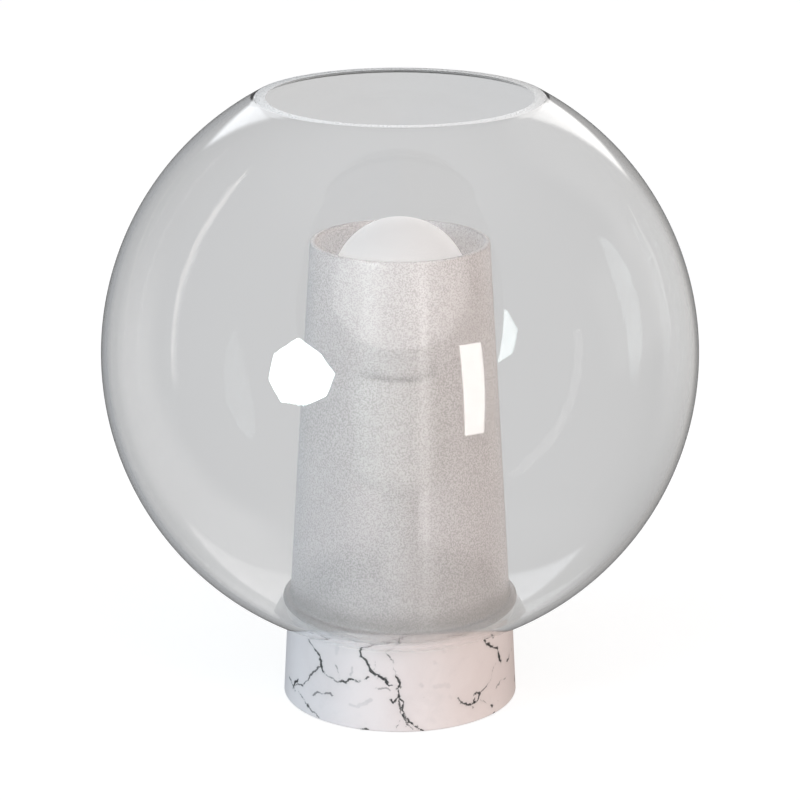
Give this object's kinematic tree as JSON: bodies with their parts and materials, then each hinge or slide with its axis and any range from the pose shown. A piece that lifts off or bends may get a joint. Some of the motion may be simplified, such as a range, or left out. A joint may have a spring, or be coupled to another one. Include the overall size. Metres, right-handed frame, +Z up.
{
  "type": "glass globe table lamp",
  "caption": "Table lamp: clear glass sphere, open at the top, on a short round marble drum, with a frosted glass cone around one bulb inside.",
  "frame": {"origin": "centre of the round foot, on the surface the lamp stands on", "axes": "+Z up along the lamp's axis, -Y to the front, +Y to the cable outlet"},
  "size_m": [0.25, 0.25, 0.2609],
  "materials": {
    "clear_glass": "clear blown glass, ground and polished rims",
    "frosted_glass": "satin-etched glass",
    "opal": "opal bulb envelope",
    "stone": "honed white marble with grey veins",
    "plate_paint": "satin light grey",
    "steel": "zinc-plated steel",
    "silicone": "translucent silicone",
    "pad": "dark foam rubber",
    "white_plastic": "moulded white plastic",
    "grey_plastic": "moulded grey plastic",
    "ceramic": "unglazed steatite",
    "black_plastic": "black insulating glass",
    "brass": "plain",
    "nickel": "nickel-plated brass",
    "board_white": "white lacquered board",
    "board_green": "circuit board"
  },
  "bodies": {
    "lamp_body": {"stone_base": "stone", "foot_pad": "pad", "bottom_cover": "steel", "cover_screws": "steel", "threaded_inserts": "brass", "cable_outlet_bush": "white_plastic", "globe_gasket": "silicone", "glass_globe": "clear_glass", "globe_clamp_ring": "silicone", "retaining_plate": "plate_paint", "diffuser_seat_ring": "silicone", "threaded_nipple": "steel", "clamp_washer": "steel", "lock_nut": "steel", "holder_nut": "steel", "stem_tube": "plate_paint", "lampholder_cap": "white_plastic", "lampholder_insert": "ceramic", "lampholder_skirt": "white_plastic", "screw_shell_contact": "nickel", "centre_contact": "brass", "terminal_blocks": "brass", "terminal_screws": "steel"},
    "bulb_tip": {"bulb_contact_tip": "nickel"},
    "bulb": {"bulb_envelope": "opal", "bulb_collar": "grey_plastic", "bulb_screw_cap": "nickel", "bulb_insulator": "black_plastic", "led_board": "board_white", "led_chips": "opal", "driver_board": "board_green"},
    "diffuser": {"frosted_diffuser": "frosted_glass"}
  },
  "joints": [
    {"name": "bulb_rise", "type": "slide", "parent": "lamp_body", "child": "bulb_tip", "axis": [0, 0, 1], "range_m": [0, 0.01824]},
    {"name": "bulb_turn", "type": "hinge", "parent": "bulb_tip", "child": "bulb", "pos_m": [0, 0, 0.13], "axis": [0, 0, 1], "range_deg": [0, 1800]},
    {"name": "diffuser_lift", "type": "slide", "parent": "lamp_body", "child": "diffuser", "axis": [0, 0, 1], "range_m": [0, 0.225]}
  ],
  "couplings": [
    {"joint": "bulb_rise", "follows": "bulb_turn", "m_per_rad": 0.00057757}
  ]
}
